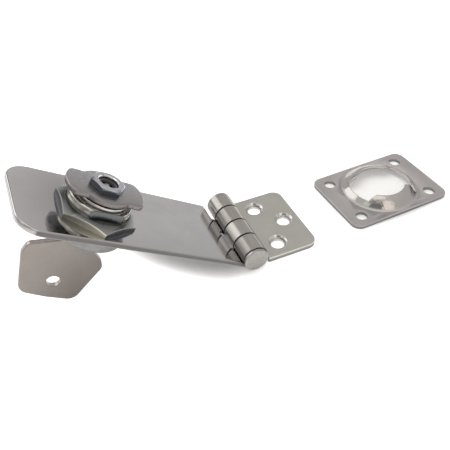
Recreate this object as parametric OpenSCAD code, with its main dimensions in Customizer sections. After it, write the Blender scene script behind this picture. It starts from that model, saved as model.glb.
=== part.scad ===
// Keyed hasp latch: a knuckle hinge whose long strap carries a round key lock,
// and a separate domed keeper that the lock's two-winged cam drops into and turns under.
// Origin: underside of the mounting plate, midway between its two paired screw holes.
// +X runs along the closed strap, from the hinge to the keeper; +Z leaves the mounting surface.

/* [Sheet and hinge] */
// Thickness of the plate and the strap
sheet_t = 2; // [1.6:0.1:2.4]
// Width of the plate and the strap
leaf_w = 30.6; // [28:0.1:34]
// Outer radius of the rolled knuckles
barrel_r = 4.5; // [4.2:0.1:5]
// Gap between two neighbouring knuckles
knuckle_gap = 0.3; // [0.2:0.05:0.5]
// Radial clearance of the pin in the knuckles
pin_clearance = 0.05; // [0.03:0.01:0.1]
// Radius of the pin's flat head at the near end
pin_head_r = 4.2; // [3.6:0.1:4.4]
// Thickness of the pin's flat head
pin_head_t = 1.2; // [0.8:0.1:1.6]

/* [Mounting plate] */
// Hinge axis to the plate's far edge
plate_reach = 24.1; // [23:0.1:30]
// Hinge axis to the line through the paired screw holes
paired_hole_x = 11.4; // [10:0.1:12.5]
// Spacing of the paired screw holes across the plate
paired_hole_span = 18.7; // [16:0.1:20]
// Hinge axis to the single screw hole
single_hole_x = 18.5; // [17:0.1:19]
// Diameter of the plate's screw holes
plate_hole_d = 4.5; // [4:0.1:5]
// Diameter of the countersinks at the plate's face
countersink_d = 6.6; // [6:0.1:7.5]
// Radius of the plate's outer corners
plate_corner_r = 3.6; // [1:0.1:6]

/* [Strap] */
// Hinge axis to the strap's free end
strap_reach = 75.7; // [72:0.1:90]
// Radius of the strap's free corners
strap_corner_r = 7; // [2:0.1:10]
// Hinge axis to the edge of the strap where it is cut back for the plate's knuckles
strap_cutback = 5.3; // [5.2:0.1:8]

/* [Lock] */
// Lock's axis to the strap's free end
lock_edge = 23.8; // [20:0.1:28]
// Offset of the lock's axis from the strap's middle line
lock_offset = -1.4; // [-2:0.1:0]
// Radius of the lock's threaded body
body_r = 9.4; // [9:0.1:10]
// Depth of the body's two flats, inside its radius
flat_depth = 1.3; // [1:0.1:1.5]
// Height of the body's end above the strap's inner face
body_top = 5.2; // [5:0.1:7]
// Clearance between the body and the hole in the strap
hole_clearance = 0.15; // [0.1:0.05:0.3]
// How far the lock's head cap stands out past the body
cap_rim = 1.5; // [1.3:0.1:2.6]
// Thickness of the pressed head cap
cap_t = 0.5; // [0.3:0.05:0.8]
// Thickness of the lock's head, cap included
head_t = 4.7; // [3.8:0.1:5.2]
// Thickness of the sealing gasket under the head
gasket_t = 0.5; // [0.3:0.05:0.8]
// Wall of the big nut, from its thread to its flats
nut_wall = 1.5; // [1.4:0.1:2.6]
// Thickness of the big nut
nut_t = 2.6; // [2.4:0.1:3.6]
// Turn of the big nut about the lock's axis, in degrees
nut_turn = 28; // [0:1:59]

/* [Plug and wafers] */
// Radius of the turning plug
plug_r = 6.4; // [6:0.1:6.8]
// Radial running clearance of the plug
plug_clearance = 0.05; // [0.03:0.01:0.1]
// Number of wafers
wafers = 5; // [5]
// Thickness of one wafer
wafer_t = 0.9; // [0.7:0.05:1]
// Spacing of the wafers along the plug
wafer_pitch = 1.75; // [1.6:0.05:1.85]
// Angle that the plug stands at from the unlocked position
plug_rest = 5; // [0:1:10]
// Angle that the plug turns through between its stops
plug_travel = 90; // [90]

/* [Cam stack] */
// Radius of the stop washer
stop_washer_r = 7.6; // [7:0.1:8.5]
// Thickness of the stop washer
stop_washer_t = 0.9; // [0.7:0.1:1.4]
// Thickness of the spacer ring between stop washer and cam
spacer_t = 0.5; // [0.3:0.1:0.9]
// Thickness of the cam
cam_t = 1.8; // [1.4:0.1:2.2]
// Length of the cam from wing tip to wing tip
cam_span = 22.6; // [20:0.1:23]
// Width of the cam's wings
cam_w = 11.8; // [11:0.1:12.4]
// Radius of the cam's round middle
cam_disc_r = 8.2; // [7.4:0.1:8.5]
// Cam nut, distance across its flats
cam_nut_flats = 9; // [8.8:0.1:10]
// Thickness of the cam nut
cam_nut_t = 2; // [1.6:0.1:2.6]

/* [Key] */
// Thickness of the key
key_t = 2; // [1.6:0.1:2.1]
// Width of the key's blade
blade_w = 7.8; // [7:0.1:8]
// Width of the key's bow
bow_w = 25; // [23:0.1:27]
// Reach of the bow's foot below the strap's inner face
bow_reach = 33.7; // [31:0.1:36]
// Offset of the bow from the blade, towards the strap's free end
bow_offset = 2.5; // [0:0.1:3.5]
// Diameter of the hole in the bow
bow_hole_d = 4.2; // [3.6:0.1:5]

/* [Keeper] */
// Length of the keeper
keeper_l = 41.8; // [40:0.1:46]
// Width of the keeper
keeper_w = 29.9; // [29:0.1:34]
// Thickness of the keeper's sheet
keeper_t = 1.5; // [1.2:0.1:1.8]
// Radius of the keeper's corners
keeper_corner_r = 3.4; // [1:0.1:5]
// How much further from the hinge the keeper lies than the lock's axis
keeper_ahead = 8.2; // [8:0.1:12]
// Offset of the keeper from the hinge's middle line
keeper_offset = 0.8; // [0:0.1:2]
// Turn of the keeper as it lies, in degrees
keeper_turn = 2.3; // [0:0.1:5]
// Spacing of the keeper's screw holes along it
keeper_hole_l = 30.8; // [30:0.1:33]
// Spacing of the keeper's screw holes across it
keeper_hole_w = 20.2; // [19:0.1:22]
// Diameter of the keeper's screw holes
keeper_hole_d = 4.3; // [4:0.1:5]
// Radius of the dome's foot, where it leaves the sheet
dome_r = 14.3; // [13.6:0.1:14.4]
// Height of the dome's lip above the keeper's underside
dome_h = 5; // [4.4:0.1:5.6]
// Radius of the round opening in the dome
opening_r = 8.8; // [8.6:0.1:9.2]
// Clearance round the cam where it drops through the opening's notches
notch_clearance = 0.3; // [0.2:0.05:0.5]

/* [Hidden] */
$fn = 64;
seat = 0.02;
over = 1;

// Hinge: the knuckle's bore is what the sheet leaves inside the roll
hinge_x = -paired_hole_x;
bore_r = barrel_r - sheet_t;
pin_r = bore_r - pin_clearance;
knuckle_w = (leaf_w - 3 * knuckle_gap) / 4;
knuckle_pitch = knuckle_w + knuckle_gap;
plate_cutback = barrel_r + 0.5;
pin_head_gap = 0.1;
rivet_t = 0.5;
rivet_r = pin_r + 0.9;
seam_w = 0.25;

// Lock stack, measured from the strap's inner face along the lock's axis
lock_reach = strap_reach - lock_edge;
body_flat = body_r - flat_depth;
cap_r = body_r + cap_rim;
nut_flats = 2 * (body_r + nut_wall);
head_face = -sheet_t - gasket_t - head_t;
head_back = -sheet_t - gasket_t;
head_r = cap_r - cap_t - seat;
head_edge_r = 1.3;
gasket_r = cap_r - 0.6;
plug_head_r = plug_r + 0.6;
plug_head_t = 1.6;
plug_face = head_face - 0.15;
shoulder = body_top + 0.2;
washer_top = shoulder + stop_washer_t;
cam_base = washer_top + spacer_t;
cam_top = cam_base + cam_t;
cam_nut_top = cam_top + cam_nut_t;
post_r = 4;
post_flat = 3.1;
post_clearance = 0.04;
thread_r = 2.8;
nut_clearance = 0.1;
nut_sink = 0.3;
nut_face_step = 1;
cam_nut_clearance = 0.05;
cam_nut_sink = 0.4;
cam_nut_face_step = 0.2;
thread_top = cam_nut_top - 1.1;
post_bore_r = 2.25;
keyway_w = blade_w + 0.5;
keyway_t = key_t + 0.25;
keyway_end = body_top - 0.7;

// Stop lug on the plug, running in a recess of the body's end
lug_r = (plug_r + body_flat) / 2 + 0.25;
lug_t = 1.3;
lug_angle = 30;
lug_unlocked = 95;
lug_gap = 2;

// Wafers and their springs
wafer_first = plug_face + plug_head_t + 0.5;
wafer_gap = 0.05;
wafer_w = 5.4;
ear_x = [-4.1, -2.9];
ear_y = 4.3;
spring_bore_r = 0.2;
spring_l = 3.2;

// Key outline in its own plane: x across the blade, y along it, above the strap's inner face
blade_shoulder = plug_face - 0.1;
neck_w = 10.6;
neck_y = -11.7;
neck_drop = 2.2;
foot_w = 0.7 * bow_w;
foot_r = 3.6;
foot_bulge = 0.5;
tip_w = 3.8;
tip_end = thread_top - 0.3;
bow_x = -bow_offset;
bow_hole_y = -27.6;
bite_depths = [0.9, 1.5, 0.6, 1.2, 0.9];
bite_half = 0.45;
bite_over = 0.1;
bite_slope = 0.25;

// Tilt of the raised strap, at which the rounded corner of the key's bow meets the surface
tilt_about = 33;
bow_side_y = neck_y - 7.3;
bow_side = [bow_x + bow_w / 2, bow_side_y];
foot_corner = [bow_x + foot_w / 2, -bow_reach];
foot_middle = [bow_x, -bow_reach - foot_bulge];
foot_centre = arc_centre(bow_side, foot_corner, foot_middle, foot_r);
foot_run = lock_reach - foot_centre.x * cos(plug_rest);
foot_drop = bore_r - foot_centre.y;
foot_height = foot_r + key_t / 2 * sin(plug_rest) * sin(tilt_about) + seat;
strap_tilt = atan2(foot_drop, foot_run)
    - asin((barrel_r - foot_height) / norm([foot_run, foot_drop]));

// Keeper: the dome's outside is most of a half wave, from its foot at the sheet to its sloping lip
keeper_reach = lock_reach + keeper_ahead;
dome_wave = 158;
dome_steps = 14;
dome_skew = 1.4;
notch_r = cam_span / 2 + notch_clearance;
notch_w = cam_w + 2 * notch_clearance;

// Centre of the arc that rounds corner b of an outline, whose neighbours are a and c
function unit(v) = v / norm(v);
function arc_centre(a, b, c, r) =
    let (u = unit(a - b), v = unit(c - b))
    b + unit(u + v) * r / sin(acos(u * v) / 2);

// The arc itself, from the side towards a to the side towards c
function rounded_corner(a, b, c, r, steps) =
    let (u = unit(a - b),
         v = unit(c - b),
         half = acos(u * v) / 2,
         centre = arc_centre(a, b, c, r),
         p = b + u * r / tan(half) - centre,
         q = b + v * r / tan(half) - centre,
         start = atan2(p.y, p.x),
         raw = atan2(q.y, q.x) - start,
         sweep = raw > 180 ? raw - 360 : raw < -180 ? raw + 360 : raw)
    [for (k = [0:steps]) centre + r * [cos(start + sweep * k / steps), sin(start + sweep * k / steps)]];

// Closed outline from corners given as [x, y, corner radius]
function rounded_outline(corners, steps = 8) =
    let (n = len(corners), p = [for (c = corners) [c.x, c.y]])
    [for (k = [0:n - 1])
        each corners[k].z == 0
            ? [p[k]]
            : rounded_corner(p[(k + n - 1) % n], p[k], p[(k + 1) % n], corners[k].z, steps)];

// Frames of the hinge, the raised strap, the lock on it and the turned plug
module at_hinge() translate([hinge_x, 0, barrel_r]) children();
module on_strap() at_hinge() rotate([0, strap_tilt, 0]) translate([0, 0, -bore_r]) children();
module on_lock() on_strap() translate([-lock_reach, lock_offset, 0]) children();
module on_plug() on_lock() rotate([0, 0, -plug_rest]) children();
module at_keeper() translate([hinge_x + keeper_reach, keeper_offset, 0])
    rotate([0, 0, keeper_turn]) children();

// A disc or ring between two heights
module disc(r, z0, z1, hole = 0) translate([0, 0, z0]) difference() {
    cylinder(r = r, h = z1 - z0);
    if (hole > 0) translate([0, 0, -over]) cylinder(r = hole, h = z1 - z0 + 2 * over);
}

// A round cut to two parallel flats, as on the lock's body and the plug's post
module two_flats(r, half, z0, z1) translate([0, 0, z0]) intersection() {
    cylinder(r = r, h = z1 - z0);
    translate([-2 * r, -half, -over]) cube([4 * r, 2 * half, z1 - z0 + 2 * over]);
}

// A wedge of the plane from angle a0 to angle a1, reaching past radius r
module wedge(r, a0, a1, z0, z1) {
    step = (a1 - a0) / 6;
    translate([0, 0, z0]) linear_extrude(z1 - z0)
        polygon([[0, 0], for (k = [0:6]) 1.2 * r * [cos(a0 + k * step), sin(a0 + k * step)]]);
}

// Hexagon nut blank, flat below, whose upper corners are turned off at 30 degrees
module hex_blank(flats, t, face_r) {
    corner_r = flats / 2 / cos(30);
    bevel = (corner_r - face_r) * tan(30);
    intersection() {
        cylinder(r = corner_r, h = t, $fn = 6);
        rotate_extrude()
            polygon([[0, 0], [corner_r, 0], [corner_r, t - bevel], [face_r, t], [0, t]]);
    }
}

// Knuckles: rolled from the leaf round the pin, numbered from the far side
function knuckle_y(k) = leaf_w / 2 - knuckle_w - k * knuckle_pitch;
module knuckle_roll(k) translate([0, knuckle_y(k), 0])
    rotate([-90, 0, 0]) cylinder(r = barrel_r, h = knuckle_w);
module knuckle_bore() translate([0, -leaf_w, 0])
    rotate([-90, 0, 0]) cylinder(r = bore_r, h = 2 * leaf_w);

// Leaf of a hinge in the hinge's frame, lying tangent under the barrel and reaching along +x
module leaf(reach, cutback, corner_r, tabs) {
    translate([0, 0, -barrel_r]) {
        linear_extrude(sheet_t) polygon(rounded_outline([
            [cutback, -leaf_w / 2, 0], [reach, -leaf_w / 2, corner_r],
            [reach, leaf_w / 2, corner_r], [cutback, leaf_w / 2, 0]]));
        for (k = tabs) translate([0, knuckle_y(k), 0]) cube([cutback + seat, knuckle_w, sheet_t]);
    }
    for (k = tabs) knuckle_roll(k);
}

// Slit where the end of each roll comes back to the leaf
module roll_seam(tabs) for (k = tabs)
    translate([0, knuckle_y(k) - over / 10, -bore_r])
        cube([barrel_r, knuckle_w + over / 5, seam_w]);

// Fixed leaf with two knuckles and three countersunk screw holes
module mounting_plate() {
    tabs = [0, 2];
    half_span = paired_hole_span / 2;
    holes = [[paired_hole_x, half_span], [paired_hole_x, -half_span], [single_hole_x, 0]];
    sink_t = (countersink_d - plate_hole_d) / 2;
    color("darkgray") at_hinge() difference() {
        leaf(plate_reach, plate_cutback, plate_corner_r, tabs);
        knuckle_bore();
        roll_seam(tabs);
        for (p = holes) translate([p.x, p.y, -barrel_r]) {
            translate([0, 0, -over]) cylinder(d = plate_hole_d, h = sheet_t + 2 * over);
            translate([0, 0, sheet_t - sink_t])
                cylinder(d1 = plate_hole_d, d2 = countersink_d, h = sink_t);
            translate([0, 0, sheet_t]) cylinder(d = countersink_d, h = over);
        }
    }
}

// Pin with a flat head at the near end, riveted over at the far end
module hinge_pin() color("silver") at_hinge() rotate([90, 0, 0]) {
    head = leaf_w / 2 + pin_head_gap;
    bevel = 0.25;
    disc(pin_r, -head, head);
    disc(pin_head_r, head, head + pin_head_t - bevel);
    translate([0, 0, head + pin_head_t - bevel])
        cylinder(r1 = pin_head_r, r2 = pin_head_r - bevel, h = bevel);
    translate([0, 0, -head - rivet_t]) cylinder(r1 = pin_r, r2 = rivet_r, h = rivet_t);
}

// Moving leaf, with two knuckles and the flat-sided hole that keeps the lock from turning
module strap() {
    tabs = [1, 3];
    color("lightsteelblue") difference() {
        at_hinge() rotate([0, strap_tilt, 0]) difference() {
            mirror([1, 0, 0]) leaf(strap_reach, strap_cutback, strap_corner_r, tabs);
            knuckle_bore();
            mirror([1, 0, 0]) roll_seam(tabs);
        }
        on_lock() two_flats(body_r + hole_clearance, body_flat + hole_clearance, -sheet_t - over, over);
    }
}

// Rounded edge of the lock's head, at a depth inside the cap's outer surface
function head_arc(depth) =
    let (centre = [cap_r - head_edge_r, head_face + head_edge_r])
    [for (a = [0:15:90]) centre + (head_edge_r - depth) * [sin(a), -cos(a)]];

// Flat rubber ring that seals the lock's head to the strap
module head_gasket() color("dimgray") on_lock()
    disc(gasket_r, head_back, -sheet_t, body_r + hole_clearance);

// Lock body: a head, and a threaded barrel with two flats, bored for the plug
module lock_body() color("gray") on_lock() difference() {
    union() {
        rotate_extrude() polygon(concat([[0, head_face + cap_t + seat]],
            head_arc(cap_t + seat), [[head_r, head_back], [0, head_back]]));
        two_flats(body_r, body_flat, head_back, body_top);
    }
    disc(plug_r + plug_clearance, head_face, body_top + over);
    disc(plug_head_r + plug_clearance, head_face, plug_face + plug_head_t);
    stop_recess();
    wafer_grooves();
}

// Recess in the body's end that the plug's lug travels in, from stop to stop
module stop_recess() {
    margin = lug_angle / 2 + lug_gap;
    floor_z = body_top - lug_t - seat;
    from = lug_unlocked - plug_travel - margin;
    intersection() {
        disc(lug_r + plug_clearance, floor_z, body_top + over);
        wedge(lug_r, from, lug_unlocked + margin, floor_z, body_top + over);
    }
}

// Grooves on both sides of the body's bore that the wafers would drop into with the key out
module wafer_grooves() {
    groove_r = plug_r + 1.1;
    groove_w = wafer_w + 0.4;
    groove_l = wafers * wafer_pitch;
    translate([-groove_r, -groove_w / 2, wafer_first - 0.3])
        cube([2 * groove_r, groove_w, groove_l]);
}

// Thin cap pressed over the lock's head, with a rolled outer edge
module head_cap() color("silver") on_lock() {
    skirt_top = head_back - 0.3;
    opening_r = plug_head_r + 0.25;
    inside = head_arc(cap_t);
    rotate_extrude() polygon(concat(
        [[opening_r, head_face]], head_arc(0), [[cap_r, skirt_top], [cap_r - cap_t, skirt_top]],
        [for (k = [len(inside) - 1:-1:0]) inside[k]], [[opening_r, head_face + cap_t]]));
}

// Big hexagon nut that clamps the lock in the strap
module mounting_nut() color("darkkhaki") on_lock() rotate([0, 0, nut_turn]) difference() {
    hex_blank(nut_flats, nut_t, nut_flats / 2 - nut_face_step);
    disc(body_r + nut_clearance, -over, nut_t + over);
    translate([0, 0, nut_t - nut_sink])
        cylinder(r1 = body_r + nut_clearance, r2 = body_r + nut_clearance + nut_sink,
                 h = nut_sink + seat);
}

// Turning plug: face with the keyway, wafer slots, stop lug, and the hollow post for the cam
module plug() color("gainsboro") on_plug() difference() {
    union() {
        disc(plug_head_r, plug_face, plug_face + plug_head_t - seat);
        disc(plug_r, plug_face, shoulder);
        two_flats(post_r, post_flat, shoulder, cam_top);
        disc(thread_r, cam_top, thread_top);
        intersection() {
            disc(lug_r, body_top - lug_t, body_top);
            wedge(lug_r, lug_unlocked - lug_angle / 2, lug_unlocked + lug_angle / 2,
                  body_top - lug_t, body_top);
        }
    }
    translate([-keyway_w / 2, -keyway_t / 2, plug_face - over])
        cube([keyway_w, keyway_t, keyway_end - plug_face + over]);
    disc(post_bore_r, keyway_end - seat, thread_top + over);
    for (k = [1:wafers]) translate([0, 0, wafer_z(k)]) wafer_slot();
}

// Height of wafer number k, counted from 1 at the plug's face
function wafer_z(k) = wafer_first + (k - 1) * wafer_pitch;

// Slot for one wafer, with the side pocket for its ear and spring
module wafer_slot() {
    t = wafer_t + 2 * wafer_gap;
    slot_w = wafer_w + 2 * wafer_gap;
    pocket_l = ear_x[1] - ear_x[0] + spring_l + 3 * wafer_gap;
    translate([-plug_r - over, -slot_w / 2, -wafer_gap]) cube([2 * plug_r + 2 * over, slot_w, t]);
    translate([ear_x[0] - wafer_gap, 0, -wafer_gap]) cube([pocket_l, ear_y + wafer_gap, t]);
}

// One wafer: a flat plate with round ends, a window for the key and an ear for its spring
module wafer(k) color("goldenrod") on_plug() translate([0, 0, wafer_z(k)]) difference() {
    union() {
        two_flats(plug_r - wafer_gap, wafer_w / 2, 0, wafer_t);
        translate([ear_x[0], 0, 0]) cube([ear_x[1] - ear_x[0], ear_y, wafer_t]);
    }
    translate([-keyway_w / 2, -keyway_t / 2, -over]) cube([keyway_w, keyway_t, wafer_t + 2 * over]);
}
module wafer_1() wafer(1);
module wafer_2() wafer(2);
module wafer_3() wafer(3);
module wafer_4() wafer(4);
module wafer_5() wafer(5);

// Small close-wound springs that push the wafers' ears, one beside each wafer
module wafer_springs() color("silver") on_plug() for (k = [1:wafers])
    translate([ear_x[1] + wafer_gap, ear_y - wafer_t / 2, wafer_z(k) + wafer_t / 2])
        rotate([0, 90, 0]) disc(wafer_t / 2 - wafer_gap, 0, spring_l, spring_bore_r);

// Post hole shared by the parts that turn with the plug
module post_hole(z0, z1)
    two_flats(post_r + post_clearance, post_flat + post_clearance, z0 - over, z1 + over);

// Stop washer that holds the plug in its bore
module stop_washer() color("silver") on_plug() difference() {
    disc(stop_washer_r, shoulder, washer_top);
    post_hole(shoulder, washer_top);
}

// Narrow ring that sets the cam's height
module cam_spacer() color("dimgray") on_plug()
    disc(post_r + 1.4, washer_top, cam_base, post_r + post_clearance);

// Cam: a round plate with a blunt wing to each side, necked where the wings leave it
module cam() {
    l = cam_span / 2;
    w = cam_w / 2;
    neck = 0.3;
    wing = [
        [l, w - 3.2, 1.5], [l - 1.3, w, 1.9], [l - 4, w, 2.6],
        [0.42 * l, w - neck, 2], [0, w + 0.6, 3]];
    half = concat([for (c = wing) c], [for (k = [3:-1:0]) [-wing[k].x, wing[k].y, wing[k].z]]);
    outline = concat(half, [for (c = half) [-c.x, -c.y, c.z]]);
    color("lightslategray") on_plug() difference() {
        union() {
            translate([0, 0, cam_base]) linear_extrude(cam_t) polygon(rounded_outline(outline, 5));
            disc(cam_disc_r, cam_base, cam_top);
        }
        post_hole(cam_base, cam_top);
    }
}

// Hexagon nut that clamps the cam on the hollow post
module cam_nut() color("lightsteelblue") on_plug() difference() {
    translate([0, 0, cam_top])
        hex_blank(cam_nut_flats, cam_nut_t, cam_nut_flats / 2 - cam_nut_face_step);
    disc(thread_r + cam_nut_clearance, cam_top - over, cam_nut_top + over);
    translate([0, 0, cam_nut_top - cam_nut_sink]) cylinder(
        r1 = thread_r + cam_nut_clearance, r2 = thread_r + cam_nut_clearance + cam_nut_sink,
        h = cam_nut_sink + seat);
}

// Key: flat bow with six rounded corners and a hole, and a bitted blade with a narrow tip
module key() {
    b = bow_w / 2;
    f = foot_w / 2;
    bow = [
        [-neck_w / 2, blade_shoulder, 0.6], [-neck_w / 2, neck_y, 0.8],
        [bow_x - b + 0.8, neck_y - 3.8, 2], [bow_x - b, bow_side_y, 3],
        [bow_x - f, -bow_reach, foot_r], [bow_x, -bow_reach - foot_bulge, 16],
        [bow_x + f, -bow_reach, foot_r], [bow_x + b, bow_side_y, 3],
        [bow_x + b - 1.4, neck_y - 4.7, 1.8],
        [neck_w / 2, neck_y - neck_drop, 0.8], [neck_w / 2, blade_shoulder, 0.6]];
    blade_end = keyway_end - 0.3;
    color("rosybrown") on_plug() rotate([90, 0, 0]) difference() {
        union() {
            translate([0, 0, -key_t / 2]) linear_extrude(key_t) polygon(rounded_outline(bow, 8));
            translate([-blade_w / 2, blade_shoulder - over, -key_t / 2])
                cube([blade_w, blade_end - blade_shoulder + over, key_t]);
            translate([0, 0, -key_t / 2]) linear_extrude(key_t) polygon([
                [-tip_w / 2, blade_end - over], [-tip_w / 2, tip_end - 1.2], [-0.5, tip_end],
                [0.5, tip_end], [tip_w / 2, tip_end - 1.2], [tip_w / 2, blade_end - over]]);
        }
        translate([bow_x, bow_hole_y, -key_t]) cylinder(d = bow_hole_d, h = 2 * key_t);
        for (k = [1:wafers]) bite(bite_depths[k - 1], wafer_z(k) + wafer_t / 2);
    }
}

// One cut of the key's bitting: a small trapezoid into the blade's edge
module bite(depth, y) translate([blade_w / 2, y, -key_t]) linear_extrude(2 * key_t)
    polygon([
        [bite_over, -bite_half - depth * bite_slope], [-depth, -bite_half],
        [-depth, bite_half], [bite_over, bite_half + depth * bite_slope]]);

// Height of the dome's outside over its foot, as a share of the rise, a share u of the way in
function dome_rise(u) = (1 - cos(dome_wave * u)) / (1 - cos(dome_wave));

// Profile of the dome's wall over a base height, from its foot in to the lip of the opening
function dome_profile(base) = [for (k = [0:dome_steps])
    let (u = k / dome_steps)
    [dome_r - (dome_r - opening_r) * pow(u, dome_skew), base + (dome_h - keeper_t) * dome_rise(u)]];

// Keeper: a plate with a drawn dome, whose opening has a notch to each side for the cam's wings
module keeper() {
    l = keeper_l / 2;
    w = keeper_w / 2;
    inside = dome_profile(0);
    color("silver") at_keeper() difference() {
        union() {
            difference() {
                linear_extrude(keeper_t) polygon(rounded_outline([
                    [-l, -w, keeper_corner_r], [l, -w, keeper_corner_r],
                    [l, w, keeper_corner_r], [-l, w, keeper_corner_r]]));
                translate([0, 0, -over]) cylinder(r = dome_r - seat, h = keeper_t + 2 * over, $fn = 96);
            }
            rotate_extrude($fn = 96) polygon(concat(
                dome_profile(keeper_t), [for (k = [dome_steps:-1:0]) inside[k]]));
        }
        intersection() {
            translate([0, 0, -over]) cylinder(r = notch_r, h = dome_h + 2 * over);
            translate([-notch_r, -notch_w / 2, -over])
                cube([2 * notch_r, notch_w, dome_h + 2 * over]);
        }
        for (x = [-1, 1], y = [-1, 1])
            translate([x * keeper_hole_l / 2, y * keeper_hole_w / 2, -over])
                cylinder(d = keeper_hole_d, h = keeper_t + 2 * over);
    }
}

mounting_plate();
hinge_pin();
strap();
head_gasket();
lock_body();
head_cap();
mounting_nut();
plug();
wafer_1();
wafer_2();
wafer_3();
wafer_4();
wafer_5();
wafer_springs();
stop_washer();
cam_spacer();
cam();
cam_nut();
key();
keeper();
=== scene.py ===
import math

import bmesh
import bpy
import numpy as np
from mathutils import Matrix, Vector


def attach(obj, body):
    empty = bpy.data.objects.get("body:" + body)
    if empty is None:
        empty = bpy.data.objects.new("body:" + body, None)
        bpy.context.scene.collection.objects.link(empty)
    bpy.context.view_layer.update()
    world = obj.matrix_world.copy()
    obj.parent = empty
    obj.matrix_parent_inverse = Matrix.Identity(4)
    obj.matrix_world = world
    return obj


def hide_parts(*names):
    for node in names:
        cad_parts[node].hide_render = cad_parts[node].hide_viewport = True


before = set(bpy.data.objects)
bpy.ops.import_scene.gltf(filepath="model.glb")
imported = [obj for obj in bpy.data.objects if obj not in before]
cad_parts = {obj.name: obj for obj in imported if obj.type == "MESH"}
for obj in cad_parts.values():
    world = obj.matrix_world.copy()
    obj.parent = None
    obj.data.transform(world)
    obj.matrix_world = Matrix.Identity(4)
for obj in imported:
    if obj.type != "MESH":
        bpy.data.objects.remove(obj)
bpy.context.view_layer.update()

# Mounting plate
# The short leaf of the hinge, screwed down through three countersunk holes. It is 2 mm
# stainless sheet, blanked, drilled and countersunk, with two tabs rolled up into knuckles.
# Its faces keep the satin of the rolled sheet, its edges are tumbled round, with a painted highlight along
# their upper arris and painted shade below it.

MM = 0.001
SHEET = 2.0
HALF_WIDTH = 15.3
BARREL = 4.5  # outer radius of a rolled knuckle
KNUCKLE_GAP = 0.3
KNUCKLE = (2 * HALF_WIDTH - 3 * KNUCKLE_GAP) / 4
KNUCKLE_STEP = KNUCKLE + KNUCKLE_GAP
LEAF_LOW, LEAF_HIGH = -BARREL, SHEET - BARREL  # a leaf's two faces, from the pin's middle
PLATE_END, PLATE_SLOT = 24.1, 5.0
TAB = 0.4  # how far a leaf's tabs run on past the pin's middle, into the roll
SCREW_HOLE, COUNTERSINK = 4.5, 6.6  # diameters
hinge = Matrix.Scale(MM, 4) @ Matrix.Translation((-11.4, 0, BARREL))


def rounded(corners, steps=8):
    """Closed outline (n, 2) of a polygon whose corners (x, y, radius) are rounded: the arc's centre
    lies on the corner's bisector, radius / sin(half the corner's angle) from it, and the arc runs
    between the feet of the centre on both sides."""
    points = []
    count = len(corners)
    for k, (x, y, radius) in enumerate(corners):
        corner = np.array([x, y], float)
        before = np.array(corners[k - 1][:2], float) - corner
        after = np.array(corners[(k + 1) % count][:2], float) - corner
        if radius == 0:
            points.append(corner[None])
            continue
        before /= np.linalg.norm(before)
        after /= np.linalg.norm(after)
        half = math.acos(np.clip(before @ after, -1, 1)) / 2
        bisector = (before + after) / np.linalg.norm(before + after)
        centre = corner + bisector * radius / math.sin(half)
        start = corner + before * radius / math.tan(half) - centre
        end = corner + after * radius / math.tan(half) - centre
        first = math.atan2(start[1], start[0])
        sweep = (math.atan2(end[1], end[0]) - first + math.pi) % (2 * math.pi) - math.pi
        turn = first + sweep * np.linspace(0, 1, steps + 1)
        points.append(centre + radius * np.stack([np.cos(turn), np.sin(turn)], 1))
    return np.concatenate(points)


def circle(x, y, radius, steps=64):
    """Outline of a round hole: centre plus radius times (cos, sin) of an even turn, run clockwise."""
    turn = -np.linspace(0, 2 * np.pi, steps, endpoint=False)
    return np.stack([x + radius * np.cos(turn), y + radius * np.sin(turn)], 1)


def wall(outline, section):
    """Surface carried along a closed outline: for each point of the section (inset, height) the
    outline's point moves inwards along its own normal by the inset and up by the height."""
    tangent = np.roll(outline, -1, 0) - np.roll(outline, 1, 0)
    tangent /= np.linalg.norm(tangent, axis=1)[:, None]
    inward = np.stack([-tangent[:, 1], tangent[:, 0]], 1)
    flat = outline[None] + section[:, 0, None, None] * inward[None]
    height = np.broadcast_to(section[:, 1, None, None], flat.shape[:2] + (1,))
    return np.concatenate([flat, height], 2)


def edge_section(low, high, arris):
    """Section of a sheet's edge, from its lower face up to its upper face: a quarter circle of the
    arris radius, the straight edge, and a quarter circle again."""
    turn = np.linspace(0, np.pi / 2, 5)
    lower = np.stack([arris * (1 - np.sin(turn)), low + arris * (1 - np.cos(turn))], 1)
    upper = np.stack([arris * (1 - np.cos(turn)), high - arris * (1 - np.sin(turn))], 1)
    return np.concatenate([lower, upper])


def grid_faces(rows, columns, first, close_rows):
    """Quads of a grid that closes on itself along its columns, and along its rows if asked: each
    joins a point, the next one in its row, and the two above them."""
    r = np.arange(rows if close_rows else rows - 1)[:, None]
    c = np.arange(columns)[None]
    r1, c1 = (r + 1) % rows, (c + 1) % columns
    quads = np.stack([r * columns + c, r * columns + c1, r1 * columns + c1, r1 * columns + c], -1)
    return first + quads.reshape(-1, 4)


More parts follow.
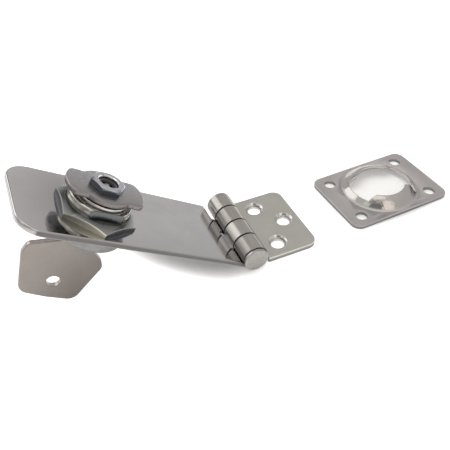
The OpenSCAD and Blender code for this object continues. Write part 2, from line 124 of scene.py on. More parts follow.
def piece(name, grids, place, body, nodes, close_rows=False, covers=(), bevel=0.0):
    """One finished piece: its grids of points become a mesh, covers closes the flat faces at the
    given heights, and place sets it in the latch's frame."""
    points, faces, first = [], [], 0
    for grid in grids:
        rows, columns = grid.shape[:2]
        points.append(grid.reshape(-1, 3))
        faces.append(grid_faces(rows, columns, first, close_rows))
        first += rows * columns
    mesh = bpy.data.meshes.new(name)
    mesh.from_pydata(np.concatenate(points).tolist(), [], np.concatenate(faces).tolist())
    shape = bmesh.new()
    shape.from_mesh(mesh)
    for face in shape.faces:
        face.smooth = True
    for height in covers:
        rim = [edge for edge in shape.edges
               if edge.is_boundary and all(abs(v.co.z - height) < 1e-6 for v in edge.verts)]
        bmesh.ops.triangle_fill(shape, use_beauty=True, edges=rim, normal=(0, 0, 1))
    bmesh.ops.remove_doubles(shape, verts=shape.verts, dist=1e-5)
    bmesh.ops.transform(shape, matrix=place, verts=shape.verts)
    bmesh.ops.recalc_face_normals(shape, faces=shape.faces)
    shape.to_mesh(mesh)
    shape.free()
    made = bpy.data.objects.new(name, mesh)
    bpy.context.scene.collection.objects.link(made)
    if bevel:
        ease = made.modifiers.new("arris", "BEVEL")
        ease.width, ease.segments, ease.limit_method = bevel * MM, 2, "ANGLE"
        ease.angle_limit = math.radians(22)
    made.modifiers.new("even shading", "WEIGHTED_NORMAL").weight = 80
    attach(made, body)
    if nodes:
        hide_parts(*nodes)
    return made


class Signal:
    """A shader socket that joins in Python sums: each operator adds one Math node."""

    def __init__(self, socket):
        self.socket = socket

    def maths(self, operation, *values, clamp=False):
        """The result of one Math node on the values, which are signals or plain numbers."""
        tree = self.socket.id_data
        made = tree.nodes.new("ShaderNodeMath")
        made.operation, made.use_clamp = operation, clamp
        for slot, value in zip(made.inputs, values):
            if isinstance(value, Signal):
                tree.links.new(value.socket, slot)
            else:
                slot.default_value = value
        return Signal(made.outputs[0])

    def __add__(self, other):
        return self.maths("ADD", self, other)

    def __radd__(self, other):
        return self.maths("ADD", other, self)

    def __sub__(self, other):
        return self.maths("SUBTRACT", self, other)

    def __rsub__(self, other):
        return self.maths("SUBTRACT", other, self)

    def __mul__(self, other):
        return self.maths("MULTIPLY", self, other)

    def __rmul__(self, other):
        return self.maths("MULTIPLY", other, self)

    def __pow__(self, other):
        """A square is the value times itself, which also holds below 0."""
        if other == 2.0:
            return self.maths("MULTIPLY", self, self)
        return self.maths("POWER", self, other)

    def above(self, low, high):
        """0 below low, 1 above high, a straight ramp between them."""
        return self.maths("MULTIPLY", self - low, 1 / (high - low), clamp=True)


class Shading:
    """The nodes of one material or of the room, and the coordinates that its patterns lie on."""

    def __init__(self, tree, coordinates="Object"):
        self.tree = tree
        self.place = self.node("ShaderNodeTexCoord", {}, {}, coordinates)

    def feed(self, slot, value):
        """Gives a socket a link, a plain value, or a colour of three numbers."""
        if isinstance(value, Signal):
            self.tree.links.new(value.socket, slot)
        else:
            slot.default_value = (*value, 1) if slot.type == "RGBA" else value

    def node(self, kind, settings, inputs, output=0):
        """One node of that kind: its settings first, a ramp's stops (place, colour) among them,
        and then what its sockets get."""
        made = self.tree.nodes.new(kind)
        for key, value in settings.items():
            if key == "stops":
                elements = made.color_ramp.elements
                for position, _ in value[2:]:
                    elements.new(position)
                for element, (position, colour) in zip(elements, value):
                    element.position, element.color = position, (*colour, 1)
            else:
                setattr(made, key, value)
        for key, value in inputs.items():
            self.feed(made.inputs[key], value)
        return Signal(made.outputs[output])

    def axis(self, name):
        """The coordinate along X, Y or Z."""
        return self.node("ShaderNodeSeparateXYZ", {}, {0: self.place}, name)

    def blend(self, share, first, second):
        """The first colour where the share is 0, the second where it is 1."""
        return self.node("ShaderNodeMix", {"data_type": "RGBA"}, {0: share, 6: first, 7: second}, 2)


class Finish(Shading):
    """The surface finish of one of the latch's pieces: a Principled material whose patterns lie in
    the piece's own frame, in millimetres."""

    def __init__(self, name, place):
        self.material = bpy.data.materials.new(name)
        self.material.use_nodes = True
        super().__init__(self.material.node_tree)
        back = place.inverted()
        self.place = self.node("ShaderNodeMapping", {"vector_type": "POINT"}, {
            "Vector": self.place, "Location": tuple(back.to_translation()),
            "Rotation": tuple(back.to_quaternion().to_euler()), "Scale": (1 / MM, 1 / MM, 1 / MM)})

    def reach(self, x=0.0, y=0.0):
        """Distance from the upright line through (x, y): the root of the two squares' sum."""
        return ((self.axis("X") - x) ** 2.0 + (self.axis("Y") - y) ** 2.0) ** 0.5

    def noise(self, per_mm, detail=3.0, roughness=0.5, stretch=(1, 1, 1)):
        """Noise of so many grains a millimetre, times the stretch along each axis."""
        grains = tuple(per_mm * s for s in stretch)
        where = self.node("ShaderNodeVectorMath", {"operation": "MULTIPLY"}, {0: self.place, 1: grains})
        return self.node("ShaderNodeTexNoise", {}, {
            "Vector": where, "Scale": 1.0, "Detail": detail, "Roughness": roughness})

    def hairlines(self, along, per_mm=9.0, length=14.0):
        """Fine lines of polishing or rolling: noise drawn out along one axis by the length."""
        return self.noise(per_mm, 2.0, 0.6, tuple(1 / length if name == along else 1.0 for name in "xyz"))

    def put_on(self, pieces, colour, roughness, height, depth, metallic=1.0):
        """Finishes the pieces: height is the relief from 0 to 1, and depth its millimetres."""
        surface = self.tree.nodes["Principled BSDF"].inputs
        bump = self.node("ShaderNodeBump", {}, {"Strength": 1.0, "Distance": depth * MM, "Height": height})
        for name, value in (("Base Color", colour), ("Roughness", roughness), ("Metallic", metallic),
                            ("Normal", bump)):
            self.feed(surface[name], value)
        for made in pieces:
            made.data.materials.clear()
            made.data.materials.append(self.material)


def countersunk(x, y):
    """A screw hole of the plate: its wall runs straight from the back, opens at 45 degrees to the
    countersink's rim and rolls over a small arris onto the face."""
    rim = (COUNTERSINK - SCREW_HOLE) / 2
    section = np.array([[0.1, LEAF_LOW], [0, LEAF_LOW + 0.1], [0, LEAF_HIGH - rim],
                        [rim * 0.5, LEAF_HIGH - rim * 0.5], [rim - 0.05, LEAF_HIGH - 0.05],
                        [rim + 0.02, LEAF_HIGH - 0.01], [rim + 0.12, LEAF_HIGH]])
    return wall(circle(x, y, SCREW_HOLE / 2), section)


def knuckle_span(number):
    """Ends (low, high) along the pin of one of the four knuckles, which is that number of steps
    from the far side of the leaves."""
    high = HALF_WIDTH - number * KNUCKLE_STEP
    return high - KNUCKLE, high


far_low = knuckle_span(0)[0]
near_low, near_high = knuckle_span(2)
plate_outline = rounded([
    (PLATE_SLOT, -HALF_WIDTH, 0.6), (PLATE_END, -HALF_WIDTH, 3.6), (PLATE_END, HALF_WIDTH, 3.6),
    (-TAB, HALF_WIDTH, 0), (-TAB, far_low, 0), (PLATE_SLOT, far_low, 0.3),
    (PLATE_SLOT, near_high, 0.3), (-TAB, near_high, 0), (-TAB, near_low, 0), (PLATE_SLOT, near_low, 0.3)])
screw_places = [(11.4, 9.35), (11.4, -9.35), (18.5, 0.0)]
plate = piece("plate_leaf", [wall(plate_outline, edge_section(LEAF_LOW, LEAF_HIGH, 0.35))]
              + [countersunk(x, y) for x, y in screw_places],
              hinge, "base", ["mounting_plate"], covers=(LEAF_LOW, LEAF_HIGH))

ROLL_OUTSIDE, ROLL_INSIDE = -386, -421  # where the two sides of the roll end, in degrees
CUT_END = -2.25  # height of the sheet's cut end, just clear of the leaf
ALONG_PIN = Matrix.Rotation(math.pi / 2, 4, "X")  # turns a section's height to run along the pin


def roll_outline(side):
    """Section of a rolled knuckle: from the leaf round the outside at the barrel's radius, over the
    cut end of the sheet, and back round the inside at the pin's radius. side is 1 for the plate's
    knuckles and -1 for the strap's, whose leaf lies the other way."""
    outer = np.radians(np.linspace(-90, ROLL_OUTSIDE, 75))
    inner = np.radians(np.linspace(ROLL_INSIDE, -90, 75))
    section = np.concatenate([
        BARREL * np.stack([np.cos(outer), np.sin(outer)], 1),
        [[3.95, CUT_END + 0.1], [3.86, CUT_END], [1.25, CUT_END]],
        (BARREL - SHEET) * np.stack([np.cos(inner), np.sin(inner)], 1)])
    return section[::-side] * (side, 1)


def knuckle(name, number, side, place):
    """A knuckle is its rolled section carried across the leaf, with a small arris at both ends."""
    low, high = knuckle_span(number)
    body, slot = ("base", "plate_steel") if side > 0 else ("strap_side", "strap_steel")
    return piece(name, [wall(roll_outline(side), edge_section(-high, -low, 0.3))], place @ ALONG_PIN,
                 body, [], covers=(-high, -low))


plate_knuckles = [knuckle("plate_knuckle_far", 0, 1, hinge), knuckle("plate_knuckle_near", 2, 1, hinge)]

satin = Finish("satin_rolled_sheet", hinge)
grain = satin.noise(4.5, 4.0, 0.65)
rolling = satin.hairlines("y")
cloud = satin.noise(0.12, 2.0)
chatter = satin.noise(1.3, 2.0, 0.7, (1, 1, 0.2))
cone = sum(1.0 - satin.reach(x, y).above(COUNTERSINK / 2, 3.42) for x, y in screw_places)
height = satin.axis("Z")
edge_band = (1.0 - height.above(LEAF_HIGH - 0.05, LEAF_HIGH - 0.02)) * (1.0 - cone)
sheet_tone = satin.blend(cloud.above(0.3, 0.7), (0.545, 0.525, 0.49), (0.61, 0.592, 0.558))
# Painted highlight and shade on the sheet's edges: bright along the upper arris, dark below it.
edge_highlight_and_shade = satin.blend(height.above(LEAF_HIGH - 0.45, LEAF_HIGH - 0.3),
                        (0.36, 0.345, 0.33), (0.90, 0.885, 0.86))
sheet_tone = satin.blend(edge_band, sheet_tone, edge_highlight_and_shade)
satin.put_on(
    [plate],
    satin.blend(cone * chatter.above(0.35, 0.6), sheet_tone, (0.78, 0.77, 0.755)),
    (0.25 + 0.10 * grain + 0.05 * rolling) * (1.0 - cone * 0.35 - edge_band * 0.5),
    grain * 0.6 + rolling * 0.4, 0.004)


def polish_barrels(name, knuckles, place, warm):
    """Knuckles bright from the rolling tool: streaks run along the pin's direction, so the noise is
    drawn out along y and only its angle round the pin changes it. Dirt mottles them, a dark line of
    painted shade lies where two knuckles meet, every step along y, and their lower side is painted
    darker as shade."""
    bright = Finish(name, place)
    streak = bright.noise(1.6, 3.0, 0.6, (1, 0.03, 1))
    fine = bright.hairlines("y", 7.0, 30.0)
    soil = bright.noise(0.5, stretch=(1, 0.6, 1))
    tone = bright.blend(streak.above(0.35, 0.68), [0.86 * c for c in warm], warm)
    tone = bright.blend(soil.above(0.55, 0.8), tone, [0.78 * c for c in warm])
    # Painted shade: the knuckle's lower side is darker, fading out from 1 to 3.4 mm above the pin's middle.
    tone = bright.blend(1.0 - bright.axis("Z").above(1.0, 3.4), tone, [0.45 * c for c in warm])
    # Painted shade: a dark line at each gap between two knuckles.
    along = bright.axis("Y") + 4 * KNUCKLE_STEP
    seam_shade = 1.0 - along.maths("PINGPONG", along, KNUCKLE_STEP / 2).above(0.27, 0.42)
    bright.put_on(
        knuckles,
        bright.blend(seam_shade, tone, (0.10, 0.10, 0.11)),
        0.12 + 0.12 * fine + 0.06 * streak,
        fine, 0.003)


polish_barrels("polished_plate_knuckles", plate_knuckles, hinge, (0.50, 0.475, 0.445))

# Hinge pin
# A steel pin through the four knuckles, with a flat cheese head at the near end and the far
# end riveted over. It is turned from bright bar, and a little dirt dulls it.

PIN = BARREL - SHEET - 0.05
HEAD, HEAD_LOW, HEAD_HIGH = 4.2, 15.4, 16.6  # radius, and the two ends along the pin
RIVET, RIVET_LOW, RIVET_HIGH = 3.3, -15.9, -15.4
POLE, POLE_RING = 0.001, 0.05  # radii that close each end, with a narrow ring for its shading


def turned(name, profile, place, body, nodes, steps=144, bevel=0.0):
    """A piece from the lathe: the closed profile (radius, height) is swung round the axis, so a
    point is (radius cos, radius sin, height) of the turn. Both may themselves change with the turn."""
    turn = np.linspace(0, 2 * np.pi, steps, endpoint=False)
    radius, height = (
        np.stack([np.broadcast_to(value(turn) if callable(value) else value, turn.shape) for value in column])
        for column in zip(*profile))
    grid = np.stack([radius * np.cos(turn), radius * np.sin(turn), height], -1)
    return piece(name, [grid], place, body, nodes, close_rows=True, bevel=bevel)


pin_profile = rounded([
    (POLE, RIVET_LOW, 0), (POLE_RING, RIVET_LOW, 0), (2.9, RIVET_LOW, 0.2), (RIVET, -15.45, 0.1),
    (PIN, RIVET_HIGH, 0), (PIN, HEAD_LOW, 0), (HEAD, HEAD_LOW, 0.08), (HEAD, 16.45, 0.22),
    (3.6, HEAD_HIGH, 0.4), (POLE_RING, HEAD_HIGH, 0), (POLE, HEAD_HIGH, 0)], 4)
pin = turned("hinge_pin", pin_profile, hinge @ ALONG_PIN, "base", ["hinge_pin"])
bar = Finish("turned_pin", hinge)
soil = bar.noise(0.9)
bar.put_on(
    [pin],
    bar.blend(soil.above(0.45, 0.75), (0.47, 0.45, 0.43), (0.38, 0.36, 0.34)),
    0.24 + 0.12 * soil,
    soil, 0.006)

# Strap
# The long leaf of the hinge, 2 mm stainless sheet with well rounded free corners. Both faces
# are polished to a mirror, so the nut and the knuckles show in it, with faint smudges of
# handling. Two of its tabs are rolled into knuckles, and the lock stands in a flat-sided hole.

TILT = math.radians(33.2196)
STRAP_END, STRAP_SLOT = -75.7, -5.3
LOCK_X, LOCK_Y = -51.9, -1.4  # the lock's middle on the strap
THREAD, THREAD_FLAT = 9.4, 8.1  # the lock's radius over its thread, and its flats' distance
LOCK_PLAY = 0.15
strap_place = hinge @ Matrix.Rotation(TILT, 4, "Y")
strap_face = strap_place @ Matrix.Translation((0, 0, LEAF_HIGH))
lock_place = strap_face @ Matrix.Translation((LOCK_X, LOCK_Y, 0))


def flat_reach(turn, distance):
    """Reach of two flats at each turn: their distance from the middle over |sin| of the turn."""
    return distance / np.maximum(np.abs(np.sin(turn)), 1e-6)


def flat_sided(radius, distance, steps=96):
    """Outline of a round hole with two flats, run clockwise: the lesser of radius and flats' reach."""
    turn = -np.linspace(0, 2 * np.pi, steps, endpoint=False)
    reach = np.minimum(radius, flat_reach(turn, distance))
    return np.stack([reach * np.cos(turn), reach * np.sin(turn)], 1)


far_low, far_high = knuckle_span(1)
near_high = knuckle_span(3)[1]
strap_outline = rounded([
    (STRAP_END, -HALF_WIDTH, 7), (TAB, -HALF_WIDTH, 0), (TAB, near_high, 0), (STRAP_SLOT, near_high, 0.3),
    (STRAP_SLOT, far_low, 0.3), (TAB, far_low, 0), (TAB, far_high, 0), (STRAP_SLOT, far_high, 0.3),
    (STRAP_SLOT, HALF_WIDTH, 0.9), (STRAP_END, HALF_WIDTH, 7)], 12)
lock_hole = flat_sided(THREAD + LOCK_PLAY, THREAD_FLAT + LOCK_PLAY) + (LOCK_X, LOCK_Y)
strap = piece("strap_leaf", [wall(strap_outline, edge_section(-SHEET, 0.0, 0.6)),
                             wall(lock_hole, edge_section(-SHEET, 0.0, 0.1))],
              strap_face, "strap_side", ["strap"], covers=(-SHEET, 0.0))
strap_knuckles = [knuckle("strap_knuckle_far", 1, -1, strap_place),
                  knuckle("strap_knuckle_near", 3, -1, strap_place)]

mirror = Finish("mirror_polished_strap", strap_face)
haze = mirror.noise(0.09, 3.0, 0.55, (1, 1.4, 1))
smudge = mirror.noise(0.32, 4.0, 0.6, (1.3, 1, 1))
buffing = mirror.hairlines("x", 6.0, 24.0)
width = mirror.axis("Y")
height = mirror.axis("Z")
at_side = (width ** 2.0).above((HALF_WIDTH - 0.5) ** 2, (HALF_WIDTH - 0.3) ** 2)
sheared = at_side * (1.0 - height.above(-0.45, -0.12))
# The sheared edge is painted in bands: dark in its middle, the dull sheared face deepened by painted shade,
# and lighter on its lower arris.
edge_bands_and_shade = mirror.blend(height.above(-1.7, -1.4), (0.50, 0.475, 0.46), (0.20, 0.192, 0.188))
# Painted shade darkens the face round the lock, on its side towards the free end.
shade_round_lock = ((1.0 - mirror.reach(LOCK_X, LOCK_Y).above(12.0, 26.0))
          * (1.0 - (mirror.axis("X") - LOCK_X).above(-8.0, 4.0)))
face_tone = mirror.blend(haze.above(0.35, 0.65), (0.62, 0.607, 0.61), (0.67, 0.654, 0.655))
face_tone = mirror.blend(shade_round_lock * 0.8, face_tone, (0.42, 0.40, 0.385))
# The face also darkens a little towards its near edge.
face_tone = mirror.blend((1.0 - width.above(-16.0, -3.0)) * 0.6, face_tone, (0.53, 0.52, 0.515))
mirror.put_on(
    [strap],
    mirror.blend(sheared, face_tone, edge_bands_and_shade),
    0.075 + 0.10 * smudge.above(0.5, 0.75) + 0.04 * buffing + 0.25 * sheared,
    haze * 3.0 + buffing * 0.06, 0.02)
polish_barrels("polished_strap_knuckles", strap_knuckles, strap_place, (0.49, 0.465, 0.435))

# Head gasket
# A flat ring of black rubber, squeezed between the lock's head and the strap's outer face.
# It is punched from moulded sheet, and a little dusty.

GASKET, GASKET_HIGH, GASKET_LOW = 10.3, -SHEET, -SHEET - 0.5
gasket_profile = rounded([(THREAD + LOCK_PLAY, GASKET_LOW, 0.1), (GASKET, GASKET_LOW, 0.15),
                          (GASKET, GASKET_HIGH, 0.15), (THREAD + LOCK_PLAY, GASKET_HIGH, 0.1)], 3)
gasket = turned("head_gasket", gasket_profile, lock_place, "strap_side", ["head_gasket"])


def dull_rubber(name, ring, place):
    """Black rubber, a little dusty, with the fine pitting of a moulded sheet."""
    rubber = Finish(name, place)
    pits = rubber.noise(7.0)
    dust = rubber.noise(0.9)
    rubber.put_on(
        [ring],
        rubber.blend(dust.above(0.45, 0.75), (0.025, 0.025, 0.026), (0.075, 0.073, 0.07)),
        0.6 + 0.2 * pits,
        pits, 0.02, metallic=0.0)


dull_rubber("gasket_rubber", gasket, lock_place)

# Lock body
# The lock's die-cast barrel, bright plated. It carries a cut thread with two flats milled
# along it, so that it can't turn in the strap, and a recess at its end for the plug's lug.

THREAD_PITCH = 1.6
THREAD_LOW, THREAD_HIGH = -1.9, 4.75
BODY_LOW, BODY_HIGH = -6.68, 5.2
PLUG_BORE, LUG_BORE, LUG_FLOOR = 6.45, 7.55, 3.9
LUG_FROM, LUG_TO = -12, 112  # the recess that the lug runs in, in degrees


def threaded(turn, height, radius, depth=0.09):
    """Radius of the cut thread: a triangle wave of the height less one pitch per turn, held within
    the two flats."""
    phase = height / THREAD_PITCH - turn / (2 * np.pi)
    cut = radius - depth * np.abs(2 * (phase - np.floor(phase)) - 1)
    return np.minimum(cut, flat_reach(turn, THREAD_FLAT))


def bore_wall(turn):
    """The bore at the body's end: as wide as the lug's path over its travel, else the plug's."""
    angle = (np.degrees(turn) + 180) % 360 - 180
    return np.where((angle > LUG_FROM) & (angle < LUG_TO), LUG_BORE, PLUG_BORE)


body_profile = [(PLUG_BORE, BODY_LOW), (9.3, BODY_LOW), (10.3, -5.8), (10.38, GASKET_LOW)]
body_profile += [(lambda turn, height=height: threaded(turn, height, THREAD), height)
                 for height in np.linspace(THREAD_LOW, THREAD_HIGH, 84)]
body_profile += [(lambda turn: threaded(turn, THREAD_HIGH, 9.2, 0.1), 4.95),
                 (lambda turn: threaded(turn, THREAD_HIGH, 8.95, 0.0), 5.17),
                 (lambda turn: np.minimum(8.8, flat_reach(turn, THREAD_FLAT - 0.15)), BODY_HIGH),
                 (lambda turn: bore_wall(turn) + 0.12, BODY_HIGH), (bore_wall, BODY_HIGH - 0.12),
                 (bore_wall, LUG_FLOOR), (PLUG_BORE, LUG_FLOOR - 0.02)]
lock_body = turned("lock_body", body_profile, lock_place, "strap_side", ["lock_body"], steps=288)
cast = Finish("plated_lock_body", lock_place)
wear = cast.noise(0.8, 4.0, 0.6)
speck = cast.noise(3.5, 3.0, 0.6)
height = cast.axis("Z")
on_flat = (cast.axis("Y") * -1.0).above(THREAD_FLAT - 0.5, THREAD_FLAT - 0.1) * height.above(1.6, 2.6)
in_nut = 1.0 - height.above(2.0, 2.7)
plating = cast.blend(wear.above(0.4, 0.7), (0.66, 0.645, 0.59), (0.46, 0.455, 0.44))
cast.put_on(
    [lock_body],
    cast.blend(on_flat, plating, (0.185, 0.19, 0.198)),
    0.13 + 0.16 * speck + 0.4 * in_nut,
    speck * 0.6 + wear, 0.008)

# Head cap
# The thin stainless cap pressed over the lock's head, under the strap. Its outer edge is
# drawn round, its middle is open for the plug's face, and its skin is drawn smooth.

CAP_BEND = np.array([9.6, -5.9])  # radius and height of the middle of its round edge
CAP_OUTSIDE, CAP_INSIDE = 1.3, 0.8  # radii of that edge
quarter = np.radians(np.linspace(0, 90, 9))
round_edge = np.stack([np.sin(quarter), -np.cos(quarter)], 1)
cap_profile = np.concatenate([
    [[7.3, -7.12], [7.38, -7.2]],
    CAP_BEND + CAP_OUTSIDE * round_edge,
    [[10.9, -2.85], [10.82, -2.8], [10.4, -2.8]],
    (CAP_BEND + CAP_INSIDE * round_edge)[::-1],
    [[7.25, -6.7]]])
cap = turned("head_cap", cap_profile, lock_place, "strap_side", ["head_cap"])
pressed = Finish("pressed_cap", lock_place)
bloom = pressed.noise(0.45)
drawn = pressed.noise(5.0, 3.0, 0.6, (1, 1, 0.1))
pressed.put_on(
    [cap],
    pressed.blend(bloom.above(0.4, 0.7), (0.34, 0.335, 0.34), (0.29, 0.284, 0.288)),
    0.15 + 0.10 * bloom + 0.05 * drawn,
    bloom, 0.003)

# Mounting nut
# The big hexagon nut that clamps the lock in the strap, milled from bar and plated, with the
# upper corners turned off at 30 degrees. Its colours are painted light: a pale olive highlight that
# grows along the front flank, painted blue-grey shade on the two flanks next to it, a painted glint
# under the front flank's turned edge, and painted shade on the turned face towards the middle.

NUT_FLATS, NUT_HIGH, NUT_BORE = 21.8, 2.6, THREAD + 0.1
NUT_FACE = NUT_FLATS / 2 - 1.0  # radius of the round face that the turning leaves
NUT_TURN = 58  # bearing of the middle of one of its flanks
TURNED_SLOPE = math.tan(math.radians(30))


def hexagon(flats):
    """Radius of a hexagon at each turn: half the flats over the cosine of the angle to the nearest
    flat's middle."""
    def reach(turn):
        angle = (turn + np.pi / 6) % (np.pi / 3) - np.pi / 6
        return flats / 2 / np.cos(angle)
    return reach


def turned_edge(flats, face, top):
    """Height of the hexagon's wall where the 30 degree cone cuts it: the face's height less a slope
    of tan 30 on what the wall stands out past the face's circle."""
    def height(turn):
        return top - (hexagon(flats)(turn) - face) * TURNED_SLOPE
    return height


def hex_nut(name, place, body, flats, low, high, bore, sink, face):
    """A nut flat below, with the upper corners turned off and the bore opened at 45 degrees. bore is
    the hole's radius, sink how deep its opening is, and face the radius of the round face."""
    profile = [(bore, high - sink), (bore, low + 0.1), (bore + 0.1, low), (hexagon(flats), low),
               (hexagon(flats), turned_edge(flats, face, high)), (face, high), (bore + sink, high)]
    return turned(name, profile, place, body, [name], steps=288, bevel=0.1)


big_nut = hex_nut("mounting_nut", lock_place @ Matrix.Rotation(math.radians(NUT_TURN), 4, "Z"),
                  "strap_side", NUT_FLATS, 0.0, NUT_HIGH, NUT_BORE, sink=0.3, face=NUT_FACE)
milled = Finish("plated_big_nut", lock_place)
cutter = milled.noise(1.1, 2.0, 0.5, (1, 1, 3))
soil = milled.noise(0.35, 4.0, 0.6)


def toward(bearing, low, high):
    """Ramp along one bearing of the nut, from low to high millimetres from its middle: x times the
    bearing's cosine plus y times its sine."""
    way = math.radians(bearing)
    return (milled.axis("X") * math.cos(way) + milled.axis("Y") * math.sin(way)).above(low, high)


def flank(bearing):
    """1 on the flank that faces that bearing, and 0 on the rest of the nut."""
    return toward(bearing, NUT_FLATS / 2 - 0.18, NUT_FLATS / 2 - 0.08)


left, front, right = NUT_TURN + 120, NUT_TURN - 180, NUT_TURN - 120
along_front = front + 90
on_front = flank(front)
side_flanks = flank(left) + flank(right)
reach = milled.reach()
height = milled.axis("Z")
in_bore = 1.0 - reach.above(NUT_BORE + 0.2, NUT_BORE + 0.3)
under_arc = height - NUT_HIGH + (reach - NUT_FACE) * TURNED_SLOPE
# Painted glint: a pale line under the turned edge, along the front flank and faintly on the side flanks.
glint_line = (on_front * toward(along_front, -3.0, 5.0) + 0.35 * side_flanks) * under_arc.above(-0.35, -0.12)
# Painted highlight: the front flank goes from dark to pale olive along its length.
front_flank_highlight = milled.blend(toward(along_front, -5.0, 6.0), (0.27, 0.285, 0.25), (0.60, 0.60, 0.49))
# Painted shade: the turned face darkens towards the middle, its edge broken up by dirt.
chamfer_shade_and_dirt = milled.blend((reach + soil * 0.8).above(10.2, 12.6), (0.115, 0.122, 0.132), (0.36, 0.37, 0.35))
# Painted shade: the side flanks are blue-grey, lighter at the bottom and darkest on the right one.
side_flank_shade = milled.blend(height.above(0.3, 1.7), (0.34, 0.36, 0.39), (0.14, 0.148, 0.168))
side_flank_shade = milled.blend(toward(right, 0.0, 2.0), side_flank_shade, (0.11, 0.116, 0.13))
tone = milled.blend(on_front, milled.blend(side_flanks, chamfer_shade_and_dirt, side_flank_shade), front_flank_highlight)
tone = milled.blend(glint_line, tone, (0.98, 0.93, 0.82))
milled.put_on(
    [big_nut],
    milled.blend(in_bore, tone, (0.55, 0.55, 0.53)),
    0.16 + 0.10 * cutter + 0.18 * on_front + 0.2 * side_flanks + 0.4 * in_bore,
    soil, 0.002)

# Plug, wafers and springs
# The turning plug, die-cast and plated, with the keyway in its face and a hollow post for the
# cam. Five brass wafers and their springs stand in it. They keep the CAD solids' own shape.

plug_place = lock_place @ Matrix.Rotation(math.radians(-5), 4, "Z")
plug_plating = Finish("plated_plug", plug_place)
speck = plug_plating.noise(3.0, 4.0, 0.6)
ring = plug_plating.noise(0.7, stretch=(1, 1, 4))
post_end = plug_plating.axis("Z").above(8.5, 8.7)
casting = plug_plating.blend(ring.above(0.4, 0.7), (0.58, 0.57, 0.55), (0.46, 0.45, 0.44))
plug_plating.put_on(
    [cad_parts["plug"]],
    plug_plating.blend(post_end, casting, (0.36, 0.35, 0.345)),
    0.16 + 0.16 * speck + 0.35 * post_end,
    speck, 0.006)

brass = Finish("stamped_brass", plug_place)
stamp = brass.noise(2.5)
brass.put_on(
    [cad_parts[f"wafer_{k}"] for k in range(1, 6)],
    brass.blend(stamp.above(0.35, 0.7), (0.72, 0.56, 0.28), (0.60, 0.45, 0.22)),
    0.24 + 0.15 * stamp,
    stamp, 0.006)

wire = Finish("spring_wire", plug_place)
winding = wire.axis("X") * 18.0
coil = winding.maths("SINE", winding)
# Painted highlight and shade: light and dark stripes along x stand for the turns of the wire.
wire.put_on(
    [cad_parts["wafer_springs"]],
    wire.blend(coil.above(-0.6, 0.6), (0.30, 0.30, 0.30), (0.58, 0.58, 0.57)),
    0.25 + 0.1 * coil.above(-1, 1),
    coil, 0.03)

# Stop washer and spacer
# A bright stamped washer with a flat-sided hole holds the plug in its bore, and a narrow dark
# ring on it sets the cam's height.

POST_HOLE, POST_FLAT = 4.04, 3.14  # the flat-sided hole of the pieces on the plug's post
WASHER, WASHER_LOW, WASHER_HIGH = 7.6, 5.4, 6.3
SPACER, SPACER_HIGH = 5.4, 6.8


def post_hole(turn):
    """Radius of the hole at each turn, held within its two flats."""
    return np.minimum(POST_HOLE, flat_reach(turn, POST_FLAT))


washer_profile = [
    (post_hole, WASHER_LOW + 0.02), (7.42, WASHER_LOW), (7.55, 5.45), (WASHER, 5.6), (WASHER, 6.1),
    (7.54, 6.25), (7.4, WASHER_HIGH), (post_hole, WASHER_HIGH - 0.02)]
washer = turned("stop_washer", washer_profile, plug_place, "plug_side", ["stop_washer"])
stamped = Finish("bright_washer", plug_place)
rub = stamped.noise(1.2, stretch=(1, 1, 3))
stamped.put_on(
    [washer],
    stamped.blend(rub.above(0.4, 0.7), (0.72, 0.71, 0.69), (0.58, 0.57, 0.56)),
    0.12 + 0.12 * rub,
    rub, 0.005)

spacer_profile = [
    (POST_HOLE, WASHER_HIGH + 0.02), (SPACER - 0.1, WASHER_HIGH), (SPACER, WASHER_HIGH + 0.1),
    (SPACER, SPACER_HIGH - 0.1), (SPACER - 0.1, SPACER_HIGH), (POST_HOLE, SPACER_HIGH - 0.02)]
spacer = turned("cam_spacer", spacer_profile, plug_place, "plug_side", ["cam_spacer"])
dull_rubber("spacer_rubber", spacer, plug_place)

# Cam
# The two-winged cam that turns under the keeper's lip, blanked from 1.8 mm sheet. The blank's
# upper edge is drawn over by the punch and its sheared side has a dull pinkish-brown skin.

CAM_LOW, CAM_HIGH = SPACER_HIGH, SPACER_HIGH + 1.8
CAM_MIDDLE = 8.2  # radius between the wings


def cam_outline(steps=480):
    """Outline of the blank, run round once: at each turn it reaches the further of the round
    middle's radius and the two blunt wings' rounded polygon."""
    half = [(11.3, 2.7, 1.5), (10.0, 5.9, 1.9), (7.3, 5.9, 2.6), (4.75, 5.6, 2), (0, 6.5, 3),
            (-4.75, 5.6, 2), (-7.3, 5.9, 2.6), (-10.0, 5.9, 1.9), (-11.3, 2.7, 1.5)]
    wings = rounded(half + [(-x, -y, r) for x, y, r in half], 6)
    bearing = np.arctan2(wings[:, 1], wings[:, 0])
    order = np.argsort(bearing)
    turn = np.linspace(-np.pi, np.pi, steps, endpoint=False)
    polygon = np.interp(turn, bearing[order], np.hypot(wings[:, 0], wings[:, 1])[order], period=2 * np.pi)
    reach = np.maximum(polygon, CAM_MIDDLE)
    return np.stack([reach * np.cos(turn), reach * np.sin(turn)], 1)


cam = piece("cam", [wall(cam_outline(), edge_section(CAM_LOW, CAM_HIGH, 0.55)),
                    wall(flat_sided(POST_HOLE, POST_FLAT), edge_section(CAM_LOW, CAM_HIGH, 0.1))],
            plug_place, "plug_side", ["cam"], covers=(CAM_LOW, CAM_HIGH))
blanked = Finish("blanked_cam", plug_place)
skin = blanked.noise(1.1, 4.0, 0.6)
shear = blanked.noise(3.0, 3.0, 0.7, (1, 1, 0.15))
height = blanked.axis("Z")
side = 1.0 - height.above(CAM_HIGH - 0.8, CAM_HIGH - 0.05)
under = 1.0 - height.above(CAM_LOW + 0.02, CAM_LOW + 0.1)
